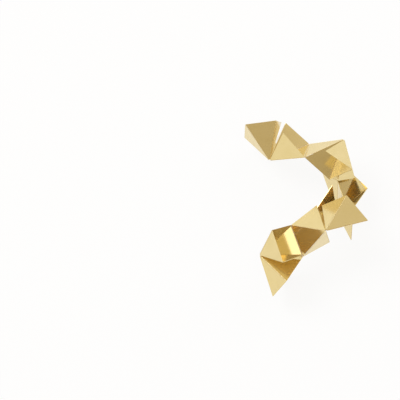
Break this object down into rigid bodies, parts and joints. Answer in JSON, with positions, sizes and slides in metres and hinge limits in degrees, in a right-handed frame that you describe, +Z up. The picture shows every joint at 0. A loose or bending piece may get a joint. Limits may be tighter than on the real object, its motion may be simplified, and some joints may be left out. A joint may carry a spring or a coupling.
{
  "type": "folded brass hanging ornament",
  "caption": "Himmeli-style faceted ornament folded from an etched brass sheet: triangular panels hinged along etched fold lines into open octagonal stars, with a hanging hole.",
  "frame": {"origin": "middle of the lying ornament's footprint, on the table plane it rests on", "axes": "+Z up from the table, +X to the right and +Y to the back of the pictured view"},
  "size_m": [0.0621, 0.0864, 0.0358],
  "materials": {
    "brass": "satin brushed, pale gold"
  },
  "bodies": {
    "octagon_1_panel_1": {"octagon_1_panel_1": "brass"},
    "octagon_1_panel_2": {"octagon_1_panel_2": "brass"},
    "octagon_1_panel_3": {"octagon_1_panel_3": "brass"},
    "octagon_1_panel_4": {"octagon_1_panel_4": "brass"},
    "octagon_1_panel_5": {"octagon_1_panel_5": "brass"},
    "octagon_1_panel_6": {"octagon_1_panel_6": "brass"},
    "octagon_1_panel_7": {"octagon_1_panel_7": "brass"},
    "octagon_1_panel_8": {"octagon_1_panel_8": "brass"},
    "octagon_2_panel_1": {"octagon_2_panel_1": "brass"},
    "octagon_2_panel_2": {"octagon_2_panel_2": "brass"},
    "octagon_2_panel_3": {"octagon_2_panel_3": "brass"},
    "octagon_2_panel_4": {"octagon_2_panel_4": "brass"},
    "octagon_2_panel_5": {"octagon_2_panel_5": "brass"},
    "octagon_2_panel_6": {"octagon_2_panel_6": "brass"},
    "octagon_2_panel_7": {"octagon_2_panel_7": "brass"},
    "octagon_2_panel_8": {"octagon_2_panel_8": "brass"},
    "octagon_3_panel_1": {"octagon_3_panel_1": "brass"},
    "octagon_3_panel_2": {"octagon_3_panel_2": "brass"},
    "octagon_3_panel_3": {"octagon_3_panel_3": "brass"},
    "octagon_3_panel_4": {"octagon_3_panel_4": "brass"},
    "octagon_3_panel_5": {"octagon_3_panel_5": "brass"},
    "octagon_3_panel_6": {"octagon_3_panel_6": "brass"},
    "octagon_3_panel_7": {"octagon_3_panel_7": "brass"},
    "octagon_3_panel_8": {"octagon_3_panel_8": "brass"},
    "octagon_4_panel_1": {"octagon_4_panel_1": "brass"},
    "octagon_4_panel_2": {"octagon_4_panel_2": "brass"},
    "octagon_4_panel_3": {"octagon_4_panel_3": "brass"},
    "octagon_4_panel_4": {"octagon_4_panel_4": "brass"},
    "octagon_4_panel_5": {"octagon_4_panel_5": "brass"},
    "octagon_4_panel_6": {"octagon_4_panel_6": "brass"},
    "octagon_4_panel_7": {"octagon_4_panel_7": "brass"},
    "octagon_4_panel_8": {"octagon_4_panel_8": "brass"},
    "octagon_5_panel_1": {"octagon_5_panel_1": "brass"},
    "octagon_5_panel_2": {"octagon_5_panel_2": "brass"},
    "octagon_5_panel_3": {"octagon_5_panel_3": "brass"},
    "octagon_5_panel_4": {"octagon_5_panel_4": "brass"},
    "octagon_5_panel_5": {"octagon_5_panel_5": "brass"},
    "octagon_5_panel_6": {"octagon_5_panel_6": "brass"},
    "octagon_5_panel_7": {"octagon_5_panel_7": "brass"},
    "octagon_5_panel_8": {"octagon_5_panel_8": "brass"}
  },
  "joints": [
    {"name": "octagon_1_fold_1_2", "type": "hinge", "parent": "octagon_1_panel_2", "child": "octagon_1_panel_1", "pos_m": [-0.02159, -0.02574, 0.01841], "axis": [-0.3631, 0.239, 0.9006], "range_deg": [0, 73]},
    {"name": "octagon_1_fold_2_3", "type": "hinge", "parent": "octagon_1_panel_3", "child": "octagon_1_panel_2", "pos_m": [-0.02159, -0.02574, 0.01841], "axis": [-0.21, 0.8554, 0.4735], "range_deg": [0, 66]},
    {"name": "octagon_1_fold_3_4", "type": "hinge", "parent": "octagon_1_panel_4", "child": "octagon_1_panel_3", "pos_m": [-0.02159, -0.02574, 0.01841], "axis": [-0.6616, 0.738, -0.1332], "range_deg": [0, 70]},
    {"name": "octagon_1_fold_4_5", "type": "hinge", "parent": "octagon_1_panel_5", "child": "octagon_1_panel_4", "pos_m": [-0.02159, -0.02574, 0.01841], "axis": [0.9914, -0.0871, -0.0978], "range_deg": [0, 42]},
    {"name": "octagon_1_fold_5_6", "type": "hinge", "parent": "octagon_1_panel_5", "child": "octagon_1_panel_6", "pos_m": [-0.02159, -0.02574, 0.01841], "axis": [-0.7864, -0.5727, -0.2315], "range_deg": [0, 75]},
    {"name": "octagon_1_fold_6_7", "type": "hinge", "parent": "octagon_1_panel_6", "child": "octagon_1_panel_7", "pos_m": [-0.02159, -0.02574, 0.01841], "axis": [-0.478, -0.2364, -0.8459], "range_deg": [0, 79]},
    {"name": "octagon_1_fold_7_8", "type": "hinge", "parent": "octagon_1_panel_7", "child": "octagon_1_panel_8", "pos_m": [-0.02159, -0.02574, 0.01841], "axis": [-0.6743, 0.4546, -0.5819], "range_deg": [-30, 0]},
    {"name": "octagon_2_fold_1_2", "type": "hinge", "parent": "octagon_2_panel_2", "child": "octagon_2_panel_1", "pos_m": [0.01254, -0.02104, 0.03024], "axis": [0.8735, -0.3443, 0.3442], "range_deg": [0, 60]},
    {"name": "octagon_2_fold_2_3", "type": "hinge", "parent": "octagon_2_panel_3", "child": "octagon_2_panel_2", "pos_m": [0.01254, -0.02104, 0.03024], "axis": [0.6685, 0.3155, 0.6735], "range_deg": [0, 88]},
    {"name": "octagon_2_fold_3_4", "type": "hinge", "parent": "octagon_2_panel_4", "child": "octagon_2_panel_3", "pos_m": [0.01254, -0.02104, 0.03024], "axis": [0.1185, -0.115, 0.9863], "range_deg": [0, 83]},
    {"name": "octagon_2_fold_4_5", "type": "hinge", "parent": "octagon_2_panel_5", "child": "octagon_2_panel_4", "pos_m": [0.01254, -0.02104, 0.03024], "axis": [-0.3983, 0.7049, -0.5869], "range_deg": [0, 50]},
    {"name": "octagon_2_fold_5_6", "type": "hinge", "parent": "octagon_2_panel_5", "child": "octagon_2_panel_6", "pos_m": [0.01254, -0.02104, 0.03024], "axis": [-0.367, -0.7115, 0.5993], "range_deg": [-20, 5]},
    {"name": "octagon_2_fold_6_7", "type": "hinge", "parent": "octagon_2_panel_6", "child": "octagon_2_panel_7", "pos_m": [0.01254, -0.02104, 0.03024], "axis": [0.9167, 0.2855, -0.2796], "range_deg": [0, 138]},
    {"name": "octagon_2_fold_7_8", "type": "hinge", "parent": "octagon_2_panel_7", "child": "octagon_2_panel_8", "pos_m": [0.01254, -0.02104, 0.03024], "axis": [0.4578, 0.8795, -0.1298], "range_deg": [0, 53]},
    {"name": "octagon_3_fold_1_2", "type": "hinge", "parent": "octagon_3_panel_2", "child": "octagon_3_panel_1", "pos_m": [0.01188, -0.0009, -0.00011], "axis": [-0.5368, 0.211, -0.8169], "range_deg": [0, 22]},
    {"name": "octagon_3_fold_2_3", "type": "hinge", "parent": "octagon_3_panel_3", "child": "octagon_3_panel_2", "pos_m": [0.01188, -0.0009, -0.00011], "axis": [0.7974, 0.406, 0.4465], "range_deg": [0, 25]},
    {"name": "octagon_3_fold_3_4", "type": "hinge", "parent": "octagon_3_panel_4", "child": "octagon_3_panel_3", "pos_m": [0.01188, -0.0009, -0.00011], "axis": [0.4084, 0.9125, 0.0247], "range_deg": [0, 70]},
    {"name": "octagon_3_fold_4_5", "type": "hinge", "parent": "octagon_3_panel_5", "child": "octagon_3_panel_4", "pos_m": [0.01188, -0.0009, -0.00011], "axis": [-0.2586, 0.8799, 0.3987], "range_deg": [0, 93]},
    {"name": "octagon_3_fold_5_6", "type": "hinge", "parent": "octagon_3_panel_6", "child": "octagon_3_panel_5", "pos_m": [0.01188, -0.0009, -0.00011], "axis": [-0.1896, -0.4684, -0.8629], "range_deg": [-20, 0]},
    {"name": "octagon_3_fold_6_7", "type": "hinge", "parent": "octagon_3_panel_6", "child": "octagon_3_panel_7", "pos_m": [0.01188, -0.0009, -0.00011], "axis": [0.3992, -0.2676, 0.877], "range_deg": [0, 40]},
    {"name": "octagon_3_fold_7_8", "type": "hinge", "parent": "octagon_3_panel_7", "child": "octagon_3_panel_8", "pos_m": [0.01188, -0.0009, -0.00011], "axis": [-0.366, -0.2741, 0.8893], "range_deg": [0, 121]},
    {"name": "octagon_4_fold_1_2", "type": "hinge", "parent": "octagon_4_panel_2", "child": "octagon_4_panel_1", "pos_m": [0.01919, 0.02894, 0.01928], "axis": [0.0935, -0.6753, -0.7316], "range_deg": [0, 76]},
    {"name": "octagon_4_fold_2_3", "type": "hinge", "parent": "octagon_4_panel_3", "child": "octagon_4_panel_2", "pos_m": [0.01919, 0.02894, 0.01928], "axis": [-0.1656, -0.9829, -0.0804], "range_deg": [0, 85]},
    {"name": "octagon_4_fold_3_4", "type": "hinge", "parent": "octagon_4_panel_3", "child": "octagon_4_panel_4", "pos_m": [0.01919, 0.02894, 0.01928], "axis": [-0.6138, -0.5715, -0.5446], "range_deg": [0, 28]},
    {"name": "octagon_4_fold_4_5", "type": "hinge", "parent": "octagon_4_panel_4", "child": "octagon_4_panel_5", "pos_m": [0.01919, 0.02894, 0.01928], "axis": [-0.9009, 0.1262, -0.4154], "range_deg": [0, 117]},
    {"name": "octagon_4_fold_5_6", "type": "hinge", "parent": "octagon_4_panel_5", "child": "octagon_4_panel_6", "pos_m": [0.01919, 0.02894, 0.01928], "axis": [-0.8992, -0.4207, 0.1201], "range_deg": [0, 61]},
    {"name": "octagon_4_fold_6_7", "type": "hinge", "parent": "octagon_4_panel_6", "child": "octagon_4_panel_7", "pos_m": [0.01919, 0.02894, 0.01928], "axis": [0.3678, 0.9242, 0.1033], "range_deg": [-30, 0]},
    {"name": "octagon_4_fold_7_8", "type": "hinge", "parent": "octagon_4_panel_7", "child": "octagon_4_panel_8", "pos_m": [0.01919, 0.02894, 0.01928], "axis": [-0.2552, 0.9048, -0.341], "range_deg": [0, 96]},
    {"name": "octagon_5_fold_1_2", "type": "hinge", "parent": "octagon_5_panel_2", "child": "octagon_5_panel_1", "pos_m": [-0.01803, 0.02357, 0.01391], "axis": [0.9105, -0.1593, 0.3815], "range_deg": [0, 84]},
    {"name": "octagon_5_fold_2_3", "type": "hinge", "parent": "octagon_5_panel_2", "child": "octagon_5_panel_3", "pos_m": [-0.01803, 0.02357, 0.01391], "axis": [-0.9089, -0.3876, 0.154], "range_deg": [0, 49]},
    {"name": "octagon_5_fold_3_4", "type": "hinge", "parent": "octagon_5_panel_3", "child": "octagon_5_panel_4", "pos_m": [-0.01803, 0.02357, 0.01391], "axis": [0.3739, 0.9259, -0.0549], "range_deg": [0, 75]},
    {"name": "octagon_5_fold_4_5", "type": "hinge", "parent": "octagon_5_panel_4", "child": "octagon_5_panel_5", "pos_m": [-0.01803, 0.02357, 0.01391], "axis": [0.0196, -0.7312, 0.6819], "range_deg": [0, 84]},
    {"name": "octagon_5_fold_5_6", "type": "hinge", "parent": "octagon_5_panel_5", "child": "octagon_5_panel_6", "pos_m": [-0.01803, 0.02357, 0.01391], "axis": [0.6423, -0.7289, 0.2369], "range_deg": [0, 53]},
    {"name": "octagon_5_fold_6_7", "type": "hinge", "parent": "octagon_5_panel_6", "child": "octagon_5_panel_7", "pos_m": [-0.01803, 0.02357, 0.01391], "axis": [0.4571, -0.7316, -0.5057], "range_deg": [0, 49]},
    {"name": "octagon_5_fold_7_8", "type": "hinge", "parent": "octagon_5_panel_7", "child": "octagon_5_panel_8", "pos_m": [-0.01803, 0.02357, 0.01391], "axis": [-0.2951, -0.7054, -0.6444], "range_deg": [-30, 0]},
    {"name": "fold_between_octagons_1_2", "type": "hinge", "parent": "octagon_2_panel_2", "child": "octagon_1_panel_5", "pos_m": [-0.00542, -0.01396, 0.02317], "axis": [0.2678, -0.8621, -0.4302], "range_deg": [0, 33]},
    {"name": "fold_between_octagons_2_3", "type": "hinge", "parent": "octagon_3_panel_7", "child": "octagon_2_panel_5", "pos_m": [0.02009, -0.00641, 0.01792], "axis": [-0.9998, -0.0086, 0.0162], "range_deg": [0, 33]},
    {"name": "fold_between_octagons_3_4", "type": "hinge", "parent": "octagon_3_panel_5", "child": "octagon_4_panel_3", "pos_m": [0.01578, 0.00873, 0.01763], "axis": [0.5857, -0.5376, 0.6066], "range_deg": [0, 34]},
    {"name": "fold_between_octagons_4_5", "type": "hinge", "parent": "octagon_4_panel_5", "child": "octagon_5_panel_2", "pos_m": [0.00069, 0.02029, 0.02175], "axis": [0.0022, -0.7146, 0.6996], "range_deg": [-20, 20]}
  ]
}
